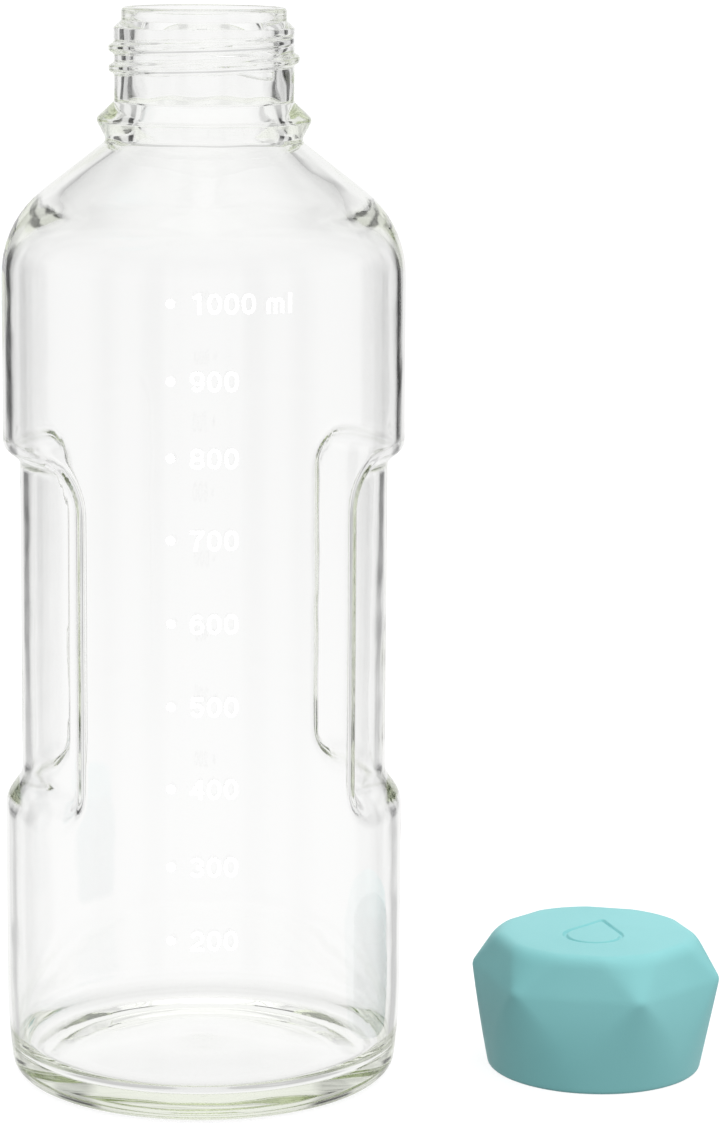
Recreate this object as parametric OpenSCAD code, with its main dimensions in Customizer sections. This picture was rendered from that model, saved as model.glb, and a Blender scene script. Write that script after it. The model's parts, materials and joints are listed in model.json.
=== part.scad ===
// One-litre glass water bottle with two grip recesses, a printed scale and a six-sided screw cap.
// The bottle stands open and its cap stands beside it. Origin: centre of the ring that the bottle
// stands on. +Z is up and -Y is the front, where the scale is printed.

/* [Body] */
// Outside diameter of the two full bands
body_d = 91.2; // [90:0.2:93]
// Height from the standing ring to the rim
bottle_h = 245.2; // [244:0.2:246.6]
// Thickness of the side walls
wall = 2.0; // [1.8:0.1:2.3]
// Height where the heel starts to tuck in
heel_z = 22; // [19:1:25]
// Radius of the long heel curve
heel_r = 150; // [140:5:165]
// Radius of the round edge beside the standing ring
foot_r = 4.4; // [4:0.2:5]
// Width of the flat ring that the bottle stands on
ring_w = 2; // [1.5:0.5:3]
// Height of the hollow under the base
punt_h = 3; // [2.4:0.2:3.6]
// Height of the inside floor at its edge
floor_z = 5.8; // [5.4:0.2:6.6]
// Height where the shoulder starts to curve in
shoulder_z = 185.4; // [184.6:0.2:186.2]
// Radius of the shoulder curve
shoulder_r = 24; // [23.2:0.2:24.6]
// Angle that the shoulder curve turns before it runs straight to the neck
shoulder_turn = 52; // [50:1:54]
// Radius of the shoulder curve inside, where the glass thickens towards the neck
inner_shoulder_r = 17; // [16:0.2:21]

/* [Neck] */
// Radius of the bore through the neck
bore_r = 16.7; // [16.2:0.1:17.2]
// Outside diameter of the neck under the bead
neck_d = 44.4; // [44:0.2:45]
// Outside diameter of the bead
bead_d = 48.6; // [48:0.2:49.2]
// Height of the widest part of the bead
bead_z = 220.3; // [219.9:0.2:220.7]
// Outside diameter of the threaded finish
finish_d = 40.4; // [40.2:0.1:40.8]
// Outside diameter of the lip
lip_d = 37; // [36.6:0.2:37.8]

/* [Thread] */
// Rise of the thread in one turn
thread_pitch = 4.45; // [4.3:0.05:4.6]
// Turns of thread on the neck
neck_turns = 2; // [1.75:0.25:2]
// Height of the middle of the thread at its start
thread_z = 229.4; // [229:0.2:229.8]
// Height of the thread above the finish
thread_h = 1.15; // [1:0.05:1.2]

/* [Grip recesses] */
// Depth of the two recesses
grip_depth = 3.8; // [3.2:0.2:4.2]
// Angle that each recess covers
grip_angle = 98; // [90:1:104]
// Angle that both recesses are turned away from the sides
grip_turn = 5; // [0:1:8]
// Height where the lower slope of a recess starts
grip_z0 = 63.6; // [62:0.2:66]
// Height where the upper slope of a recess ends
grip_z1 = 147.6; // [146:0.2:149]
// Height of the lower slope
grip_run0 = 8.8; // [7:0.2:10]
// Height of the upper slope
grip_run1 = 4.4; // [3.6:0.2:6]

/* [Scale] */
// Height of the 200 ml mark
first_mark_z = 42.8; // [41.8:0.2:43.8]
// Height of the numerals
glyph_h = 4.4; // [4:0.1:4.8]
// Width of a numeral
glyph_w = 3.05; // [2.8:0.05:3.2]
// Width of the printed strokes
stroke = 0.72; // [0.6:0.02:0.8]
// Distance from one numeral to the next
advance = 3.7; // [3.6:0.05:3.9]
// Diameter of the level dots
dot_d = 2.0; // [1.6:0.1:2.4]
// Thickness of the fired ink
ink = 0.12; // [0.1:0.02:0.2]
// Angle from the front to the dots
dot_turn = -9.1; // [-10:0.1:-8]
// Angle from the front to the left end of the numerals
text_turn = -3.8; // [-4.5:0.1:-3]

/* [Cap] */
// Distance from the bottle's axis to the cap's axis
cap_x = 91.5; // [86:0.5:96]
// Height of the cap
cap_h = 31.9; // [31.5:0.1:33]
// Distance from the cap's axis to the corners of its belt
cap_corner_r = 29.3; // [29:0.1:30]
// Height of the six-sided belt
cap_belt_z = 22.4; // [21:0.2:23]
// Radius of the round top
cap_top_r = 23.9; // [23.4:0.1:24.2]
// Radius of the round foot
cap_foot_r = 24.8; // [24.6:0.1:25]
// Radius of the round part of the drop sunk into the closed side
drop_r = 7; // [6:0.5:8]
// Angle that the cap is turned
cap_turn = -15; // [-30:0.5:30]
// Outside radius of the threaded liner
liner_r = 23.2; // [23:0.1:23.3]
// Thickness of the sealing disc
seal_t = 2; // [1.6:0.1:2.2]

/* [Hidden] */
$fn = 96;

body_r = body_d / 2;
neck_r = neck_d / 2;
bead_r = bead_d / 2;
finish_r = finish_d / 2;
lip_r = lip_d / 2;
far = 3;                                  // how far cutters run past what they cut

// Points of an arc about c, from angle a0 to angle a1
function arc(c, r, a0, a1, n) =
    [for (i = [0:n]) c + r * [cos(a0 + (a1 - a0) * i / n), sin(a0 + (a1 - a0) * i / n)]];

// Points of a shallow dome that rises from radius r at height z to height z + h on the axis
function dome(r, z, h, n) =
    let (dome_r = (r * r + h * h) / (2 * h))
    arc([0, z + h - dome_r], dome_r, 90, acos(r / dome_r), n);

// The heel: a long arc that leaves the straight wall at heel_z, and a short one at its foot
function heel(long_r, short_r, z) =
    let (dz = heel_z - z - short_r, dx = sqrt(pow(long_r - short_r, 2) - dz * dz), a = atan2(dz, dx))
    concat(arc([body_r - heel_r + dx, z + short_r], short_r, -90, -a, 6),
           arc([body_r - heel_r, heel_z], long_r, -a, 0, 6));

heel_start = heel(heel_r, foot_r, 0)[0];
floor_start = heel(heel_r - wall, 6, floor_z)[0];

// Height where the shoulder's straight line meets radius to. Its arc has radius r and starts on the wall
// at radius from.
function shoulder_meets(from, r, to) =
    let (arc_end = from - r * (1 - cos(shoulder_turn)))
    shoulder_z + r * sin(shoulder_turn) + (arc_end - to) / tan(shoulder_turn);

cove_r = 1.2;                             // outside blend between the shoulder and the neck
throat_r = 8;                             // inside blend between the shoulder and the bore
cove_z = shoulder_meets(body_r, shoulder_r, neck_r) + cove_r * tan(shoulder_turn / 2);
throat_z = shoulder_meets(body_r - wall, inner_shoulder_r, bore_r) + throat_r * tan(shoulder_turn / 2);
finish_z = bead_z + bead_r - finish_r + 0.7;  // foot of the threaded finish
lip_round = 1.1;
mouth_bevel = 0.6;

outside = concat(
    dome(heel_start[0] - ring_w, 0, punt_h, 6),
    heel(heel_r, foot_r, 0),
    arc([body_r - shoulder_r, shoulder_z], shoulder_r, 0, shoulder_turn, 10),
    arc([neck_r + cove_r, cove_z], cove_r, 180 + shoulder_turn, 180, 3),
    [[bead_r - 0.4, bead_z - 0.9]],
    [[bead_r, bead_z]],
    [[bead_r - 0.3, bead_z + 0.7]],
    [[finish_r, finish_z + 0.3]],
    [[finish_r, bottle_h - 4.4]],
    [[lip_r + 0.3, bottle_h - 3.3]],
    [[lip_r, bottle_h - 2.7]],
    arc([lip_r - lip_round, bottle_h - lip_round], lip_round, 0, 90, 4),
    [[0, bottle_h]]);

inside = concat(
    dome(floor_start[0], floor_z, punt_h * 0.8, 6),
    heel(heel_r - wall, 6, floor_z),
    arc([body_r - wall - inner_shoulder_r, shoulder_z], inner_shoulder_r, 0, shoulder_turn, 10),
    arc([bore_r + throat_r, throat_z], throat_r, 180 + shoulder_turn, 180, 6),
    [[bore_r, bottle_h - mouth_bevel]],
    [[bore_r + mouth_bevel * 2, bottle_h + mouth_bevel]],
    [[0, bottle_h + mouth_bevel]]);

// ---- glass bottle ----

// One grip recess, or with in = wall the room that the glass behind it takes from the inside
module grip(turn, in) {
    floor_r = body_r - grip_depth - in;
    run0 = grip_run0 / grip_depth;
    run1 = grip_run1 / grip_depth;
    low = grip_z0 - in * tan(atan(1 / run0) / 2);
    high = grip_z1 + in * tan(atan(1 / run1) / 2);
    side = grip_angle / 2 + asin(in / body_r);
    rotate([0, 0, turn - side])
        rotate_extrude(angle = 2 * side)
            polygon([
                [floor_r, low + grip_run0],
                [floor_r + grip_depth + in + far, low - run0 * (in + far)],
                [floor_r + grip_depth + in + far, high + run1 * (in + far)],
                [floor_r, high - grip_run1]]);
}

module grips(in) {
    for (side = [0, 180])
        grip(grip_turn + side, in);
}

// A ridge that climbs around +Z, with its foot at foot and its crest at crest, faded at both ends.
// The radius crest may be the smaller one, for a thread inside a bore.
module thread(foot, crest, foot_w, crest_w, z, turns, start) {
    steps = round(36 * turns);
    fade_steps = 4;
    fade = [for (i = [0:steps]) max(0.15, min(1, i / fade_steps, (steps - i) / fade_steps))];
    rings = [for (i = [0:steps])
        let (a = start + 360 * turns * i / steps, tip = foot + (crest - foot) * fade[i],
             mid = z + thread_pitch * turns * i / steps)
        for (p = [[foot, -foot_w / 2], [tip, -crest_w / 2], [tip, crest_w / 2], [foot, foot_w / 2]])
            [p[0] * cos(a), p[0] * sin(a), mid + p[1]]];
    last = 4 * steps;
    sides = [for (i = [0:steps - 1]) for (k = [0:3])
        let (a = 4 * i + k, b = 4 * i + (k + 1) % 4)
        for (f = [[b, a + 4, a], [b + 4, a + 4, b]]) f];
    ends = [[2, 1, 0], [3, 2, 0], [last, last + 1, last + 2], [last, last + 2, last + 3]];
    faces = concat(sides, ends);
    polyhedron(rings, crest > foot ? faces : [for (f = faces) [f[2], f[1], f[0]]]);
}

module bottle_glass() {
    color([0.86, 0.93, 0.9, 0.45]) {
        difference() {
            rotate_extrude()
                polygon(outside);
            grips(0);
            difference() {
                rotate_extrude()
                    polygon(inside);
                grips(wall);
            }
        }
        thread(finish_r - 0.4, finish_r + thread_h, 2.9, 1.0, thread_z, neck_turns, 0);
    }
}

// ---- printed scale ----

// Room for each further 100 ml: the plain bands hold more than the waist between the recesses
band_area = PI * pow(body_r - wall, 2);
waist_area = band_area
    - 2 * grip_angle / 360 * PI * (pow(body_r - wall, 2) - pow(body_r - wall - grip_depth, 2));
waist_z0 = grip_z0 + grip_run0 / 2;
waist_z1 = grip_z1 - grip_run1 / 2;
waist_v0 = 200 + (waist_z0 - first_mark_z) * band_area / 1000;
waist_v1 = waist_v0 + (waist_z1 - waist_z0) * waist_area / 1000;

function mark_z(ml) =
    ml < waist_v0 ? first_mark_z + (ml - 200) * 1000 / band_area :
    ml < waist_v1 ? waist_z0 + (ml - waist_v0) * 1000 / waist_area :
    waist_z1 + (ml - waist_v1) * 1000 / band_area;

marks = [for (ml = [200:100:1000]) ml];

// Puts a flat shape on the glass, as ink: its own X runs round the bottle and its Y up
module printed(turn, z) {
    intersection() {
        rotate([90, 0, turn])
            translate([0, z, body_r - 3])
                linear_extrude(6)
                    children();
        translate([0, 0, z - glyph_h])
            difference() {
                cylinder(r = body_r + ink, h = 2 * glyph_h, $fn = 180);
                translate([0, 0, -1])
                    cylinder(r = body_r, h = 2 * glyph_h + 2, $fn = 180);
            }
    }
}

module scale_dots() {
    color("white")
        for (ml = marks)
            printed(dot_turn, mark_z(ml))
                circle(d = dot_d, $fn = 32);
}

half_w = (glyph_w - stroke) / 2;          // centre line of a stroke from the middle of a numeral
half_h = (glyph_h - stroke) / 2;
small_r = half_h / 2;                     // half height of the bowl of an 8

// Points of an oval, squared a little like a grotesque numeral
function oval(c, rx, ry, n = 24) =
    [for (i = [0:n - 1])
        let (x = cos(360 * i / n), y = sin(360 * i / n))
        c + [rx * sign(x) * pow(abs(x), 0.88), ry * sign(y) * pow(abs(y), 0.88)]];

// Points of part of an ellipse
function bow(c, rx, ry, a0, a1, n = 8) =
    [for (i = [0:n]) let (a = a0 + (a1 - a0) * i / n) c + [rx * cos(a), ry * sin(a)]];

function unit(v) = v / norm(v);
function side_of(path, i) =
    let (n = len(path) - 1, d = unit(path[min(n, i + 1)] - path[max(0, i - 1)]))
    [-d[1], d[0]] * stroke / 2;

// A stroke of even width along a path
module line(path) {
    n = len(path) - 1;
    polygon(concat(
        [for (i = [0:n]) path[i] + side_of(path, i)],
        [for (i = [n:-1:0]) path[i] - side_of(path, i)]));
}

module bowl(c, rx, ry) {
    difference() {
        polygon(oval(c, rx + stroke / 2, ry + stroke / 2));
        polygon(oval(c, rx - stroke / 2, ry - stroke / 2));
    }
}

module bar(x, y, w, h) {
    translate([x, y])
        square([w, h]);
}

// The numerals 0 to 9, each centred on its own middle
module numeral(n) {
    edge = half_w + stroke / 2;
    top = half_h + stroke / 2;
    if (n == 0) bowl([0, 0], half_w, half_h);
    if (n == 1) {
        bar(0.1, -top, stroke, 2 * top);
        line([[-0.95, half_h - 0.55], [-0.3, half_h - 0.4], [0.3, half_h + 0.1]]);
    }
    if (n == 2) {
        line(concat(bow([0, half_h - half_w], half_w, half_w, 170, -30),
                    [[-half_w + 0.35, -half_h + 0.45], [-half_w + 0.05, -half_h]]));
        bar(-edge, -top, 2 * edge, stroke);
    }
    if (n == 3) {
        line(bow([-0.1, small_r], half_w - 0.05, small_r, 160, -90));
        line(bow([-0.1, -small_r], half_w + 0.05, small_r, 90, -160));
    }
    if (n == 4) {
        bar(0.35, -top, stroke, 2 * top);
        bar(-edge, -0.75 - stroke / 2, 2 * edge, stroke);
        line([[-half_w + 0.1, -0.75], [0.62, half_h + 0.15]]);
    }
    if (n == 5) {
        bar(-half_w, top - stroke, 2 * half_w + stroke / 4, stroke);
        line([[-half_w + 0.25, half_h], [-half_w + 0.05, -0.15]]);
        line(bow([-0.05, -half_h + 1.15], half_w, 1.15, 140, -160));
    }
    if (n == 6) six();
    if (n == 7) {
        bar(-edge, top - stroke, 2 * edge, stroke);
        line([[half_w, half_h], [0.1, 0.3], [-0.45, -top]]);
    }
    if (n == 8) {
        bowl([0, small_r], half_w - 0.15, small_r);
        bowl([0, -small_r], half_w, small_r);
    }
    if (n == 9)
        rotate([0, 0, 180])
            six();
}

module six() {
    bowl([0, -half_h + 1.12], half_w, 1.12);
    line(bow([0, 0], half_w, half_h, 200, 40, 10));
}

module letter_m() {
    base = -half_h - stroke / 2;
    for (x = [0, 1.6, 3.2])
        bar(x - stroke / 2, base, stroke, 2.4);
    for (x = [0.8, 2.4])
        line(bow([x, base + 2.25], 0.8, 0.75, 0, 180));
}

module letter_l() {
    bar(-stroke / 2, -half_h - stroke / 2, stroke, glyph_h);
}

// Angle around the bottle that a distance on its surface takes
function around(s) = s / body_r * 180 / PI;

module scale_numerals() {
    color("white")
        for (ml = marks) {
            digits = ml < 1000 ? [ml / 100, 0, 0] : [1, 0, 0, 0];
            for (i = [0:len(digits) - 1])
                printed(text_turn + around(glyph_w / 2 + advance * i), mark_z(ml))
                    numeral(digits[i]);
            if (ml == 1000) {
                printed(text_turn + around(4 * advance + 2.2), mark_z(ml))
                    letter_m();
                printed(text_turn + around(4 * advance + 7.2), mark_z(ml))
                    letter_l();
            }
        }
}

// ---- screw cap ----

thread_gap = 0.4;                         // running room of the cap's thread on the neck's
cap_bore_r = finish_r + thread_h + thread_gap;
seal_z = 22.1;                            // underside of the sealing disc
seal_gap = 0.2;                           // play of the disc in its groove
roof_z = seal_z + seal_t + seal_gap;      // underside of the liner's roof
roof_t = 1.5;
shell_t = 2.2;                            // thickness of the shell's top
liner_lift = 0.6;                         // the liner stops short of the shell's rim
drop_line = 0.9;
drop_depth = 0.4;

module at_cap() {
    translate([cap_x, 0, 0])
        rotate([0, 0, cap_turn])
            children();
}

// A water drop with a round part of radius r about the origin and its point up
module drop(r) {
    polygon(concat(arc([0, 0], r, 150, 390, 24), [[0, 2 * r]]));
}

module cap_shell() {
    belt_round = 2.4;
    foot_round = 0.7;
    top_round = 1.1;
    color([0.55, 0.83, 0.84])
        at_cap()
            difference() {
                hull() {
                    cylinder(r1 = cap_foot_r - foot_round, r2 = cap_foot_r, h = foot_round, $fn = 48);
                    for (k = [0:5])
                        rotate([0, 0, 60 * k])
                            translate([cap_corner_r - belt_round, 0, cap_belt_z])
                                cylinder(r = belt_round, h = 0.5, $fn = 24);
                    translate([0, 0, cap_h - top_round])
                        cylinder(r1 = cap_top_r, r2 = cap_top_r - top_round, h = top_round, $fn = 48);
                }
                translate([0, 0, -far])
                    cylinder(r = liner_r, h = far + cap_h - shell_t);
                translate([0, -drop_r / 2, cap_h - drop_depth])
                    linear_extrude(far)
                        difference() {
                            drop(drop_r);
                            drop(drop_r - drop_line);
                        }
            }
}

module cap_liner() {
    keeper_r = finish_r + 0.7;
    color([0.92, 0.94, 0.93])
        at_cap() {
            rotate_extrude()
                polygon([
                    [cap_bore_r + 0.5, liner_lift],
                    [liner_r, liner_lift],
                    [liner_r, roof_z + roof_t],
                    [0, roof_z + roof_t],
                    [0, roof_z],
                    [cap_bore_r, roof_z],
                    [cap_bore_r, seal_z - seal_gap],
                    [keeper_r, seal_z - seal_gap - 0.2],
                    [keeper_r, seal_z - seal_gap - 0.5],
                    [cap_bore_r, seal_z - seal_gap - 1.1],
                    [cap_bore_r, liner_lift + 0.8]]);
            thread(cap_bore_r + 0.4, finish_r + thread_gap + 0.05, 2.5, 0.8, 5.5, 1.5, 0);
        }
}

module cap_seal() {
    seal_r = cap_bore_r - 0.35;
    color([0.9, 0.9, 0.88])
        at_cap()
            rotate_extrude()
                polygon([
                    [0, seal_z],
                    [seal_r - 0.3, seal_z],
                    [seal_r, seal_z + 0.3],
                    [seal_r, seal_z + seal_t - 0.3],
                    [seal_r - 0.3, seal_z + seal_t],
                    [0, seal_z + seal_t]]);
}

bottle_glass();
scale_dots();
scale_numerals();
cap_shell();
cap_liner();
cap_seal();
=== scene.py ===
"""Looks for the glass water bottle: clear glass, fired white scale and a turquoise screw cap beside it."""

import json
import math

import bmesh
import bpy
import numpy as np
from mathutils import Matrix, Vector


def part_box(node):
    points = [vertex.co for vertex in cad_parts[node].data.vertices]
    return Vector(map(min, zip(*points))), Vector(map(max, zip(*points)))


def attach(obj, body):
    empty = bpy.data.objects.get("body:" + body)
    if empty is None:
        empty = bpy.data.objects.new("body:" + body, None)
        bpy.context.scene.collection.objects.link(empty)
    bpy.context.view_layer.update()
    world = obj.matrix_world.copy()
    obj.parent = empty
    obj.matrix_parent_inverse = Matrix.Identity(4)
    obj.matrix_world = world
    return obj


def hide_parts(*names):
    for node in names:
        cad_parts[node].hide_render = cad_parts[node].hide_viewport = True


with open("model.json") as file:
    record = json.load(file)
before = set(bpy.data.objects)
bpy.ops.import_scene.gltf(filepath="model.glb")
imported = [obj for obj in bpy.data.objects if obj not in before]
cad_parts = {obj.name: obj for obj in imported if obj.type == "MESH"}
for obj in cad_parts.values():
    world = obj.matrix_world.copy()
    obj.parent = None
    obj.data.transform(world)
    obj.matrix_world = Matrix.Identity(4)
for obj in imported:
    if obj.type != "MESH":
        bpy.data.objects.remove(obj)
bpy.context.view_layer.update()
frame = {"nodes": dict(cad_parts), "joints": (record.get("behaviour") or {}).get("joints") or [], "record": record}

MM = 0.001
PRINT = ("scale_dots", "scale_numerals")

# ---- sizes, in millimetres, from the frame where it holds them ----

mounts = {m["name"]: m for m in frame["record"]["mounts"]}
joints = {j["name"]: j for j in frame["joints"]}


def node_box(node):
    """Lowest and highest corners of a CAD node, in millimetres."""
    low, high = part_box(node)
    return low / MM, high / MM


GLASS_LOW, GLASS_HIGH = node_box("bottle_glass")
INK_GAP = 0.01                        # the ink lies this far off the glass, so that the two never coincide
BODY_R = (GLASS_HIGH.x - GLASS_LOW.x) / 2 - INK_GAP
HEIGHT = GLASS_HIGH.z
BORE_R = mounts["mouth_bore"]["dims"]["r_mm"]
WALL = 2.0
LEAN = math.radians(6.94)             # how far the heel leans in at the foot
INNER_LEAN = math.radians(4.1)
SHOULDER = math.radians(52)           # how far the shoulder turns in
SHOULDER_Z = 197.1                    # where the wall's line and the shoulder's line meet
SHOULDER_R = 24
INNER_SHOULDER_R = 17                 # tighter than the outside, so the glass thickens towards the neck
HEEL_Z = 13.0                         # where the wall's line and the heel's line meet
HEEL_R = 150
INNER_HEEL_Z = 16.8
INNER_HEEL_R = 147
FOOT_R = 4.4
FLOOR_Z = 5.8
PUNT = 3.0                            # height of the hollow under the base
PUNT_R = 38.1
NECK_R = 22.2
BEAD_R = 24.3
BEAD_Z = 220.4
FINISH_R = 20.2
FINISH_Z = 224.3                      # foot of the threaded finish
LIP_R = 18.5
LIP_H = 3.3
LIP_ROUND = 0.95
MOUTH_BEVEL = 0.6
SWAY = 0.05                           # unevenness of the inside, over its length
RIPPLE = 0.07                         # and where the glass is thick, in the shoulder and the neck

PITCH = 4.45
THREAD_Z = 229.4
THREAD_TURNS = 2
THREAD_H = 1.15
THREAD_CREST = 0.4                    # half widths of the ridge at its crest and its foot
THREAD_FOOT = 1.5

GRIP_DEPTH = 3.8
GRIP_TURN = 5                         # degrees that both recesses are turned away from the sides
GRIP_HALF = 49                        # degrees from a recess's middle to its edge
GRIP_Z0 = 63.0
GRIP_Z1 = 148.2
GRIP_LOW_CORNER = 10.5                # radius of a recess's corners, below and above
GRIP_HIGH_CORNER = 12.5
GRIP_SIDE_RUN = 6.4                   # width of the slopes at its sides, below and above
GRIP_LOW_RUN = 9.8
GRIP_HIGH_RUN = 5.6
GRIP_INNER_RUN = 1.25                 # how many times wider the slopes are on the inside
GRIP_INNER_GROW = 0.9                 # and how far the recess's edges lie further out there

CAP_AXIS = Vector(joints["cap_turn"]["pos_m"]) / MM
CAP_TURN = -15
CAP_H = node_box("cap_shell")[1].z
CAP_CORNER_R = 29.3                   # to the corners of the belt
CAP_BELT_ROUND = 2.4
CAP_BELT_Z = 22.6                     # height of the belt, where the shell is widest
CAP_BELT_SOFT = 0.8                   # height over which the belt's edge is softened, up and down
CAP_FOOT_R = 24.8
CAP_FOOT_ROUND = 0.8
CAP_TOP_R = 23.9                      # half the top's width, reached at CAP_TOP_BELOW under the top
CAP_TOP_BELOW = 1
CAP_TOP_ROUND = 16.9                  # rounding of the top's corners, nearly a circle
CAP_TOP_EDGE = 2.4
CAP_INNER_R = 23.2
CAP_ROOF = 2.2
CAP_ROW = 0.4                         # height between rows of the side
DROP_R = 6.55                         # radius of the sunk line that draws a drop on the top
DROP_FORWARD = 3.5                    # how far the drop's round end lies in front of the cap's middle
DROP_HALF_LINE = 0.6                  # half the line's width at its brim
DROP_WALL = 0.3                       # width of the line's sloping sides
DROP_DEPTH = 0.55


# ---- mesh tools ----

def arc_between(corner, before, after, radius, step):
    """Points that round one corner of an outline, on an arc of that radius."""
    back = (before - corner).normalized()
    on = (after - corner).normalized()
    half = back.angle(on) / 2
    reach = radius / math.tan(half)
    centre = corner + (back + on).normalized() * (radius / math.sin(half))
    start = corner + back * reach - centre
    end = corner + on * reach - centre
    sweep = start.angle_signed(end)
    count = max(3, math.ceil(abs(sweep) * radius / step), math.ceil(abs(sweep) / math.radians(9)))
    points = []
    for i in range(count + 1):
        turn = -sweep * i / count
        points.append(centre + Matrix.Rotation(turn, 2) @ start)
    return points


def outline(corners, step=2.5):
    """Points (r, z) along an outline of corners (r, z, radius), each rounded to its radius."""
    flat = [Vector(c[:2]) for c in corners]
    points = [flat[0]]
    for i in range(1, len(corners) - 1):
        if corners[i][2] > 0:
            points += arc_between(flat[i], flat[i - 1], flat[i + 1], corners[i][2], step)
        else:
            points.append(flat[i])
    points.append(flat[-1])
    dense = [points[0]]
    for p in points[1:]:
        gap = (p - dense[-1]).length
        if gap < 1e-4:
            continue
        pieces = max(1, math.ceil(gap / step))
        start = dense[-1]
        dense += [start.lerp(p, (k + 1) / pieces) for k in range(pieces)]
    return np.array([[p.x, p.y] for p in dense])


def refine(rz, z0, z1, step):
    """The same outline with rows at most step apart where it lies between two heights."""
    out = [rz[0]]
    for a, b in zip(rz[:-1], rz[1:]):
        inside = min(a[1], b[1]) < z1 and max(a[1], b[1]) > z0
        pieces = max(1, math.ceil(np.hypot(*(b - a)) / step)) if inside else 1
        out += [a + (b - a) * (k + 1) / pieces for k in range(pieces)]
    return np.array(out)


def smooth(t):
    """0 below 0, 1 above 1 and an even S between."""
    t = np.clip(t, 0, 1)
    return t * t * t * (t * (6 * t - 15) + 10)


def polar_mesh(name, radius, height, angles, centre=(0, 0), turn=0.0):
    """A skin wound round a vertical axis. Rows run along the outline, columns round the axis, and a row
    whose radius is 0 becomes a pole."""
    rows, columns = radius.shape
    a = angles + math.radians(turn)
    x = radius * np.cos(a) + centre[0]
    y = radius * np.sin(a) + centre[1]
    points = np.stack([x, y, height], axis=2).reshape(-1, 3) * MM
    index = np.arange(rows * columns).reshape(rows, columns)
    faces = []
    for i in range(rows - 1):
        low, high = index[i], index[i + 1]
        low_next, high_next = np.roll(low, -1), np.roll(high, -1)
        if radius[i].max() < 1e-6:
            faces += [(low[0], h, n) for h, n in zip(high_next.tolist(), high.tolist())]
        elif radius[i + 1].max() < 1e-6:
            faces += [(l, n, high[0]) for l, n in zip(low.tolist(), low_next.tolist())]
        else:
            faces += np.stack([low, low_next, high_next, high], axis=1).tolist()
    mesh = bpy.data.meshes.new(name)
    mesh.from_pydata(points.tolist(), [], faces)
    mesh.validate()
    used = np.zeros(len(points), bool)
    used[np.unique([v for p in mesh.polygons for v in p.vertices])] = True
    if not used.all():
        bm = bmesh.new()
        bm.from_mesh(mesh)
        bmesh.ops.delete(bm, geom=[v for v in bm.verts if not v.link_faces], context="VERTS")
        bm.to_mesh(mesh)
        bm.free()
    mesh.shade_smooth()
    piece = bpy.data.objects.new(name, mesh)
    bpy.context.scene.collection.objects.link(piece)
    return piece


def angle_list(coarse, fine, edges, reach):
    """Angles round the axis in radians: coarse degrees apart, and fine degrees apart near the edges."""
    out = []
    a = 0.0
    while a < 360 - 1e-6:
        out.append(a)
        near = min(abs((a - e + 180) % 360 - 180) for e in edges)
        a += fine if near < reach else coarse
    return np.radians(out)


# ---- materials ----

def new_material(name):
    """A new material with its nodes and links."""
    material = bpy.data.materials.new(name)
    material.use_nodes = True
    return material, material.node_tree.nodes, material.node_tree.links


def noise(nodes, links, scale, detail=3.0, roughness=0.55):
    """A noise texture in the object's own metres."""
    place = nodes.new("ShaderNodeTexCoord")
    texture = nodes.new("ShaderNodeTexNoise")
    texture.inputs["Scale"].default_value = scale
    texture.inputs["Detail"].default_value = detail
    texture.inputs["Roughness"].default_value = roughness
    links.new(place.outputs["Object"], texture.inputs["Vector"])
    return texture.outputs["Fac"]


def between(nodes, links, factor, low, high):
    """A factor from 0.35 to 0.65, which is most of a noise, spread from low to high."""
    spread = nodes.new("ShaderNodeMapRange")
    spread.inputs["From Min"].default_value = 0.35
    spread.inputs["From Max"].default_value = 0.65
    spread.inputs["To Min"].default_value = low
    spread.inputs["To Max"].default_value = high
    links.new(factor, spread.inputs["Value"])
    return spread.outputs["Result"]


def bump(nodes, links, height, strength, distance):
    """A normal for a surface with that much relief."""
    made = nodes.new("ShaderNodeBump")
    made.inputs["Strength"].default_value = strength
    made.inputs["Distance"].default_value = distance
    links.new(height, made.inputs["Height"])
    return made.outputs["Normal"]


def mottled(nodes, links, factor, dark, light):
    """A colour that drifts between two close tones."""
    ramp = nodes.new("ShaderNodeValToRGB")
    ramp.color_ramp.elements[0].position = 0.35
    ramp.color_ramp.elements[0].color = (*dark, 1)
    ramp.color_ramp.elements[1].position = 0.65
    ramp.color_ramp.elements[1].color = (*light, 1)
    links.new(factor, ramp.inputs["Fac"])
    return ramp.outputs["Color"]


def clear_glass():
    """Soda-lime glass: clear, faintly uneven from the mould, with an olive tint in its depth."""
    material, nodes, links = new_material("clear_glass")
    shader = nodes["Principled BSDF"]
    shader.inputs["Base Color"].default_value = (1, 1, 1, 1)
    shader.inputs["Roughness"].default_value = 0.0
    shader.inputs["IOR"].default_value = 1.48
    shader.inputs["Transmission Weight"].default_value = 1.0
    wave = noise(nodes, links, 70, detail=1.0)
    links.new(bump(nodes, links, wave, 0.25, 0.0004), shader.inputs["Normal"])
    depth = nodes.new("ShaderNodeVolumeAbsorption")
    depth.inputs["Color"].default_value = (0.82, 0.86, 0.70, 1)
    depth.inputs["Density"].default_value = 8.0
    links.new(depth.outputs["Volume"], nodes["Material Output"].inputs["Volume"])
    return material


def white_enamel():
    """Ink fired on to the glass: bright white, satin, with a slightly grainy surface."""
    material, nodes, links = new_material("white_enamel")
    shader = nodes["Principled BSDF"]
    grain = noise(nodes, links, 2600)
    links.new(mottled(nodes, links, grain, (0.88, 0.88, 0.87), (0.97, 0.97, 0.96)),
              shader.inputs["Base Color"])
    links.new(between(nodes, links, grain, 0.38, 0.52), shader.inputs["Roughness"])
    links.new(bump(nodes, links, grain, 0.3, 0.00003), shader.inputs["Normal"])
    return material


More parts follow.
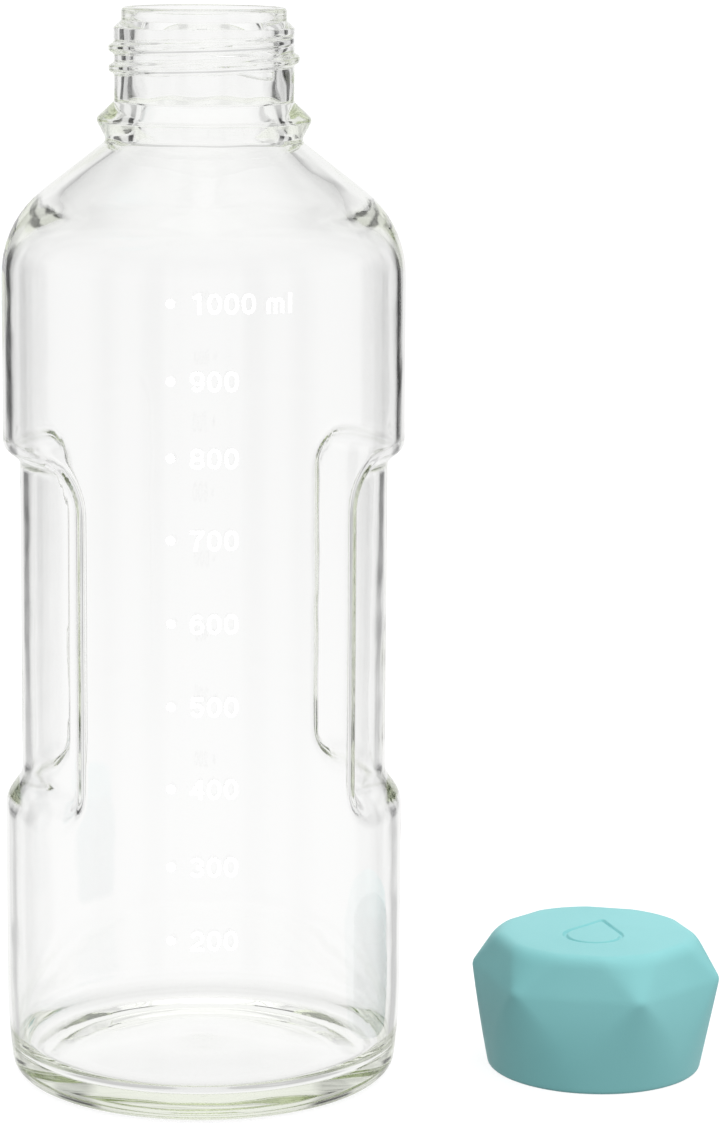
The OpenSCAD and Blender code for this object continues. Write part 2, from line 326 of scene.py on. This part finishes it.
def moulded(name, dark, light, rough, grain_scale, grain_depth):
    """Moulded plastic or rubber: a fine even grain over a slow drift of tone."""
    material, nodes, links = new_material(name)
    shader = nodes["Principled BSDF"]
    drift = noise(nodes, links, 45, detail=2.0)
    grain = noise(nodes, links, grain_scale, detail=4.0, roughness=0.6)
    links.new(mottled(nodes, links, drift, dark, light), shader.inputs["Base Color"])
    links.new(between(nodes, links, grain, rough - 0.05, rough + 0.05), shader.inputs["Roughness"])
    links.new(bump(nodes, links, grain, 0.5, grain_depth), shader.inputs["Normal"])
    shader.inputs["IOR"].default_value = 1.46
    return material


def put_material(piece, material):
    """Gives a piece or a CAD node one material."""
    piece.data.materials.clear()
    piece.data.materials.append(material)


# ---- glass bottle ----

def grip_depth(angle, z, grow, wider):
    """How far a recess takes the wall in at a place, with its edges moved out by grow."""
    deep = 0.0
    half_w = math.radians(GRIP_HALF) * BODY_R + grow
    half_h = (GRIP_Z1 - GRIP_Z0) / 2 + grow
    middle = (GRIP_Z0 + GRIP_Z1) / 2
    corner_r = np.where(z > middle, GRIP_HIGH_CORNER, GRIP_LOW_CORNER) + grow
    for side in (0, 180):
        off = (angle - math.radians(GRIP_TURN + side) + math.pi) % (2 * math.pi) - math.pi
        across = np.abs(off) * BODY_R - (half_w - corner_r)
        up = np.abs(z - middle) - (half_h - corner_r)
        a, u = np.maximum(across, 0), np.maximum(up, 0)
        corner = np.hypot(a, u)
        inside = -(corner + np.minimum(np.maximum(across, up), 0) - corner_r)
        end_run = np.where(z > middle, GRIP_HIGH_RUN, GRIP_LOW_RUN)
        share = np.where(corner > 0, (u / np.maximum(corner, 1e-6)) ** 2, (up > across) * 1.0)
        run = GRIP_SIDE_RUN + (end_run - GRIP_SIDE_RUN) * share
        deep = np.maximum(deep, smooth(inside / (run * wider)) * GRIP_DEPTH)
    return deep


def thread_height(angle, z):
    """Height of the right-hand thread at a place, from 0 to 1, with rounded flanks and faded ends."""
    tall = 0.0
    for n in range(THREAD_TURNS + 1):
        along = angle / (2 * math.pi) + n
        off = np.abs(z - THREAD_Z - PITCH * along)
        fade = smooth(along * 9) * smooth((THREAD_TURNS - along) * 9)
        tall = np.maximum(tall, smooth((THREAD_FOOT - off) / (THREAD_FOOT - THREAD_CREST)) * fade)
    return tall


def glass_bottle():
    """The bottle as one closed skin, from the hollow of the base up the outside and down the inside."""
    neck_z = SHOULDER_Z + (BODY_R - NECK_R) / math.tan(SHOULDER)
    outside = outline([
        (PUNT_R, 0, 0),
        (BODY_R - HEEL_Z * math.tan(LEAN), 0, FOOT_R),
        (BODY_R, HEEL_Z, HEEL_R),
        (BODY_R, SHOULDER_Z, SHOULDER_R),
        (NECK_R, neck_z, 1.2),
        (NECK_R, neck_z + 0.9, 0.8),
        (BEAD_R, BEAD_Z, 1.1),
        (FINISH_R, FINISH_Z, 0.8),
        (FINISH_R, HEIGHT - LIP_H - 1.2, 0.5),
        (LIP_R, HEIGHT - LIP_H + 0.4, 0.5),
        (LIP_R, HEIGHT, LIP_ROUND),
        (BORE_R + MOUTH_BEVEL, HEIGHT, 0.2),
        (BORE_R, HEIGHT - MOUTH_BEVEL, 0)])
    outside = refine(outside, GRIP_Z0 - 2, GRIP_Z0 + 16, 0.9)
    outside = refine(outside, GRIP_Z1 - 16, GRIP_Z1 + 2, 0.9)
    outside = refine(outside, THREAD_Z - 2, THREAD_Z + PITCH * THREAD_TURNS + 2, 0.35)
    punt = [(PUNT_R * t, PUNT * (1 - t * t)) for t in np.linspace(0, 1, 12)[:-1]]
    outside = np.vstack([punt, outside])

    inner_r = BODY_R - WALL
    shoulder_start = SHOULDER_Z - SHOULDER_R * math.tan(SHOULDER / 2)
    corner_z = shoulder_start + INNER_SHOULDER_R * math.tan(SHOULDER / 2)
    inside = outline([
        (BORE_R, HEIGHT - MOUTH_BEVEL, 0),
        (BORE_R, corner_z + (inner_r - BORE_R) / math.tan(SHOULDER), 8),
        (inner_r, corner_z, INNER_SHOULDER_R),
        (inner_r, INNER_HEEL_Z, INNER_HEEL_R),
        (inner_r - (INNER_HEEL_Z - FLOOR_Z) * math.tan(INNER_LEAN), FLOOR_Z, 6),
        (30, FLOOR_Z + 0.4, 30),
        (0, FLOOR_Z + 2.2, 0)])[1:]
    inside = refine(inside, GRIP_Z0 - 3, GRIP_Z0 + 18, 1.1)
    inside = refine(inside, GRIP_Z1 - 18, GRIP_Z1 + 3, 1.1)

    # columns are closer together where a recess's side slopes
    edges = [GRIP_TURN + side + end for side in (0, 180) for end in (-GRIP_HALF, GRIP_HALF)]
    angles = angle_list(2.25, 0.8, edges, 9)
    rz = np.vstack([outside, inside])
    radius = np.repeat(rz[:, :1], len(angles), axis=1)
    height = np.repeat(rz[:, 1:], len(angles), axis=1)
    is_inside = (np.arange(len(rz)) >= len(outside))[:, None]
    on_wall = (radius > BODY_R - WALL - 0.5) & (height > GRIP_Z0 - 5) & (height < GRIP_Z1 + 5)
    deep = grip_depth(angles[None, :], height, np.where(is_inside, GRIP_INNER_GROW, 0.0),
                      np.where(is_inside, GRIP_INNER_RUN, 1.0))
    radius -= np.where(on_wall, deep, 0)
    on_finish = ~is_inside & (np.abs(radius - FINISH_R) < 0.05)
    radius += np.where(on_finish, THREAD_H * thread_height(angles[None, :], height), 0)
    # the mould leaves the inside a little uneven
    sway = np.sin(3 * angles + 1.1)[None, :] * np.sin(height / 19) + np.sin(2 * angles - height / 31)
    radius += np.where(is_inside & (radius > BORE_R + 2), SWAY * sway, 0)
    ripple = np.sin(5 * angles + height / 2.4) * np.sin(height / 1.7 + 2 * angles)
    ripple += np.sin(9 * angles - height / 3.1)
    thick = smooth((height - SHOULDER_Z - 1) / 8) * smooth((HEIGHT - 6 - height) / 5)
    radius += np.where(is_inside & (radius < 34), RIPPLE * ripple * thick, 0)
    return polar_mesh("glass_bottle", radius, height, angles)


glass = glass_bottle()
put_material(glass, clear_glass())
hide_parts("bottle_glass")
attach(glass, "bottle")

enamel = white_enamel()
for name in PRINT:
    put_material(frame["nodes"][name], enamel)


# ---- cap ----

def belt_radius(angle, corner_r, rounding):
    """Radius of a six-sided outline whose corners are rounded."""
    off = np.abs((angle + math.pi / 6) % (math.pi / 3) - math.pi / 6)
    half_chord = np.sqrt(np.maximum(rounding ** 2 - (corner_r * np.sin(off)) ** 2, 0))
    on_corner = corner_r * np.cos(off) + half_chord
    on_flat = (corner_r * math.cos(math.pi / 6) + rounding) / np.cos(math.pi / 6 - off)
    turned = np.arctan2(on_corner * np.sin(off), on_corner * np.cos(off) - corner_r)
    return np.where(turned < math.pi / 6, on_corner, on_flat)


def cap_section(z):
    """Where the outline's corners are centred and how they are rounded at a height: a circle at the foot,
    six-sided at the belt and nearly round at the top."""
    if z < CAP_BELT_Z:
        share = max(z, 0) / CAP_BELT_Z
        reach = CAP_FOOT_R + (CAP_CORNER_R - CAP_FOOT_R) * share
        # the corners fade faster than the side leans in
        corner = (CAP_CORNER_R - CAP_BELT_ROUND) * share ** 2.2
        return corner, reach - corner
    share = (z - CAP_BELT_Z) / (CAP_H - CAP_TOP_BELOW - CAP_BELT_Z)
    reach = CAP_CORNER_R + (CAP_TOP_R - CAP_CORNER_R) * share
    rounding = CAP_BELT_ROUND + (CAP_TOP_ROUND - CAP_BELT_ROUND) * share
    return reach - rounding, rounding


def drop_distance(x, y, r):
    """Signed distance to a water drop's outline: a disc of radius r and a point at 2 r from its centre."""
    x = np.abs(x)
    along = y * math.cos(math.pi / 6) - x * 0.5
    side = x * math.cos(math.pi / 6) + y * 0.5 - r
    tip = np.hypot(x, y - 2 * r)
    return np.where(along < 0, np.hypot(x, y) - r, np.where(along < math.sqrt(3) * r, side, tip))


def cap_shell():
    """The cap's shell as one closed skin, from the middle of its roof inside to the middle of its top."""
    angles = np.radians(np.arange(0, 360, 1.5))
    rows_r, rows_z = [], []
    # the inside, from the middle of the roof out and down to the rim
    for r in np.linspace(0, CAP_INNER_R, 8):
        rows_r.append(np.full(len(angles), r))
        rows_z.append(np.full(len(angles), CAP_H - CAP_ROOF))
    for z in np.linspace(CAP_H - CAP_ROOF, 0.5, 9)[1:]:
        rows_r.append(np.full(len(angles), CAP_INNER_R))
        rows_z.append(np.full(len(angles), z))
    rows_r.append(np.full(len(angles), CAP_INNER_R + 0.2))
    rows_z.append(np.full(len(angles), 0.15))
    # the outside, up to where the top's edge starts
    for t in np.linspace(0, math.pi / 2, 6):
        z = CAP_FOOT_ROUND * (1 - math.cos(t))
        rows_r.append(belt_radius(angles, *cap_section(z)) - CAP_FOOT_ROUND * (1 - math.sin(t)))
        rows_z.append(np.full(len(angles), z))
    spread = np.linspace(-CAP_BELT_SOFT, CAP_BELT_SOFT, 9)
    for z in np.arange(CAP_FOOT_ROUND + 2 * CAP_ROW, CAP_H - CAP_TOP_EDGE, CAP_ROW):
        rows_r.append(np.mean([belt_radius(angles, *cap_section(z + s)) for s in spread], axis=0))
        rows_z.append(np.full(len(angles), z))
    # the soft edge of the top, which leaves the side without a crease
    low, last = rows_r[-2], rows_r[-1]
    last_z = rows_z[-1][0]
    knee = last + (last - low) / CAP_ROW * (CAP_H - last_z)
    for t in np.linspace(0, 1, 12)[1:]:
        rows_r.append(last * (1 - t) ** 2 + knee * 2 * t * (1 - t) + (knee - CAP_TOP_EDGE) * t ** 2)
        rows_z.append(np.full(len(angles), last_z + (CAP_H - last_z) * (2 * t - t * t)))
    # the top itself with its sunk drop
    for r in np.concatenate([[18.5, 16, 14, 12.5], np.linspace(11.4, 0, 76)]):
        x, y = r * np.cos(angles), r * np.sin(angles) + DROP_FORWARD
        off_line = np.abs(drop_distance(x, y, DROP_R))
        rows_r.append(np.full(len(angles), r))
        rows_z.append(CAP_H - DROP_DEPTH * smooth((DROP_HALF_LINE - off_line) / DROP_WALL))
    return polar_mesh("cap_soft_shell", np.array(rows_r), np.array(rows_z), angles,
                      centre=(CAP_AXIS.x, CAP_AXIS.y), turn=CAP_TURN)


shell = cap_shell()
put_material(shell,
             moulded("cap_plastic", (0.305, 0.755, 0.77), (0.325, 0.785, 0.80), 0.46, 2200, 0.00004))
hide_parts("cap_shell")
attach(shell, "cap")
shell.visible_glossy = False          # the glass doesn't mirror the cap's colour

put_material(frame["nodes"]["cap_liner"],
             moulded("liner_plastic", (0.80, 0.83, 0.81), (0.85, 0.88, 0.86), 0.38, 1600, 0.00002))
put_material(frame["nodes"]["cap_seal"],
             moulded("seal_silicone", (0.78, 0.79, 0.76), (0.83, 0.84, 0.81), 0.55, 1800, 0.00002))


# ---- stage: a pale floor, and white walls with dark gaps between them that draw the glass's edges ----

def plane(name, size, place, facing):
    """A flat card of width and height, centred at place and facing a point."""
    w, h = size[0] / 2, size[1] / 2
    mesh = bpy.data.meshes.new(name)
    mesh.from_pydata([(-w, -h, 0), (w, -h, 0), (w, h, 0), (-w, h, 0)], [], [(0, 1, 2, 3)])
    card = bpy.data.objects.new(name, mesh)
    bpy.context.scene.collection.objects.link(card)
    card.location = place
    card.rotation_euler = (Vector(facing) - Vector(place)).to_track_quat("Z", "Y").to_euler()
    return card


floor = plane("floor", (60, 60), (0, 0, 0), (0, 0, 1))
floor_material, floor_nodes, _ = new_material("pale_floor")
floor_shader = floor_nodes["Principled BSDF"]
floor_shader.inputs["Base Color"].default_value = (0.30, 0.30, 0.30, 1)
floor_shader.inputs["Roughness"].default_value = 0.9
floor_shader.inputs["Specular IOR Level"].default_value = 0.0
floor_shader.inputs["Emission Color"].default_value = (1, 1, 1, 1)
floor_shader.inputs["Emission Strength"].default_value = 0.86
put_material(floor, floor_material)
# the glass and the cap see the studio below them, and not the bright floor
floor.visible_transmission = False
floor.visible_glossy = False
floor.visible_diffuse = False

world = bpy.data.worlds.new("studio")
bpy.context.scene.world = world
world.use_nodes = True
tree = world.node_tree


def sky_math(operation, *values):
    """A maths node in the world's tree, fed with numbers or sockets."""
    made = tree.nodes.new("ShaderNodeMath")
    made.operation = operation
    for socket, value in zip(made.inputs, values):
        if isinstance(value, (int, float)):
            socket.default_value = value
        else:
            tree.links.new(value, socket)
    return made.outputs["Value"]


def sky_ramp(factor, stops):
    """A grey ramp through (place, brightness) stops."""
    made = tree.nodes.new("ShaderNodeValToRGB")
    ramp = made.color_ramp
    while len(ramp.elements) < len(stops):
        ramp.elements.new(0.5)
    for element, (place, grey) in zip(ramp.elements, stops):
        element.position = place
        element.color = (grey, grey, grey, 1)
    tree.links.new(factor, made.inputs["Fac"])
    return made.outputs["Color"]


where = tree.nodes.new("ShaderNodeTexCoord")
axes = tree.nodes.new("ShaderNodeSeparateXYZ")
tree.links.new(where.outputs["Generated"], axes.inputs["Vector"])
X, Y, Z = (axes.outputs[k] for k in "XYZ")
azimuth = sky_math("ARCTAN2", X, Y)
# the studio has a white wall on each of its four sides and dark gaps between them
quarter = sky_math("WRAP", azimuth, math.pi / 4, -math.pi / 4)
off_wall = sky_math("DIVIDE", sky_math("ABSOLUTE", quarter), math.pi / 4)
walls = sky_ramp(off_wall, [
    (0.0, 0.95), (0.25, 0.93), (0.48, 0.80), (0.56, 0.03), (0.78, 0.03), (0.86, 0.72)])
rise = sky_math("MULTIPLY_ADD", Z, 0.5, 0.5)
heights = sky_ramp(rise, [
    (0.0, 0.85), (0.12, 0.85), (0.25, 1.0), (0.66, 1.0), (0.72, 0.7), (0.88, 0.7), (0.95, 1.3)])
# the gaps are open at eye level and hung with thin cloth below and above it
open_gap = sky_ramp(rise, [(0.0, 0.3), (0.38, 0.4), (0.44, 1.0), (0.56, 1.0), (0.66, 0.35), (1.0, 0.3)])
# and darker behind the bottle than on the camera's side of it
far_side = sky_ramp(sky_math("MULTIPLY_ADD", Y, 0.5, 0.5), [(0.40, 0.3), (0.50, 1.0)])
dark = sky_math("MULTIPLY", sky_math("MULTIPLY", open_gap, far_side), sky_math("SUBTRACT", 1, walls))
bright_field = sky_math("MULTIPLY", heights, sky_math("SUBTRACT", 1, dark))
# soft light for matt surfaces: brighter above and on the right
lean = sky_math("ADD", sky_math("MULTIPLY", Z, 0.60), sky_math("MULTIPLY", X, 0.13))
soft = sky_math("MAXIMUM", sky_math("ADD", lean, 0.54), 0.05)

seen = tree.nodes.new("ShaderNodeLightPath")


def pick(ray, other, chosen):
    """One colour for a kind of ray, and another for the rest."""
    made = tree.nodes.new("ShaderNodeMix")
    made.data_type = "RGBA"
    tree.links.new(seen.outputs[ray], made.inputs["Factor"])
    for socket, value in (("A", other), ("B", chosen)):
        if isinstance(value, tuple):
            made.inputs[socket].default_value = value
        else:
            tree.links.new(value, made.inputs[socket])
    return made.outputs["Result"]


sky = pick("Is Camera Ray", pick("Is Diffuse Ray", bright_field, soft), (1, 1, 1, 1))
tree.links.new(sky, tree.nodes["Background"].inputs["Color"])


def softbox(name, place, facing, size, watts):
    """A rectangular light at a place, turned to a point, that neither the glass nor the cap mirrors."""
    light = bpy.data.lights.new(name, "AREA")
    light.shape = "RECTANGLE"
    light.size, light.size_y = size
    light.energy = watts
    lamp = bpy.data.objects.new(name, light)
    lamp.location = place
    lamp.rotation_euler = (Vector(place) - Vector(facing)).to_track_quat("Z", "Y").to_euler()
    bpy.context.scene.collection.objects.link(lamp)
    lamp.visible_glossy = False
    lamp.visible_transmission = False
    return lamp


softbox("key", (0.50, -0.05, 0.95), (0.06, 0, 0.05), (0.5, 0.5), 1.0)

# a front light for the printed scale alone
ink = softbox("ink_light", (-0.2, -1.2, 0.5), (0, 0, 0.12), (0.5, 0.5), 22)
ink.light_linking.receiver_collection = bpy.data.collections.new("lit_by_ink_light")
for name in PRINT:
    ink.light_linking.receiver_collection.objects.link(frame["nodes"][name])


# ---- camera ----

EYE = Vector((0, -0.8515, 0.2736))
YAW = 2.43                            # degrees to the right, which puts the bottle left of the middle
DIP = 10.24
ROLL = 0.44                           # keeps the bottle's axis upright away from the middle of the frame
LENS = 121.2

camera = bpy.data.cameras.new("camera")
camera.lens = LENS
camera.sensor_width = 36
eye = bpy.data.objects.new("camera", camera)
turn = Matrix.Rotation(math.radians(-YAW), 4, "Z") @ Matrix.Rotation(math.radians(90 - DIP), 4, "X")
eye.matrix_world = Matrix.Translation(EYE) @ turn @ Matrix.Rotation(math.radians(ROLL), 4, "Z")
bpy.context.scene.collection.objects.link(eye)
bpy.context.scene.camera = eye
bpy.context.scene.view_settings.view_transform = "Standard"
# light runs a long way inside the thick glass of the shoulder before it gets out
bpy.context.scene.cycles.max_bounces = 96
bpy.context.scene.cycles.transmission_bounces = 96
bpy.context.scene.cycles.glossy_bounces = 96
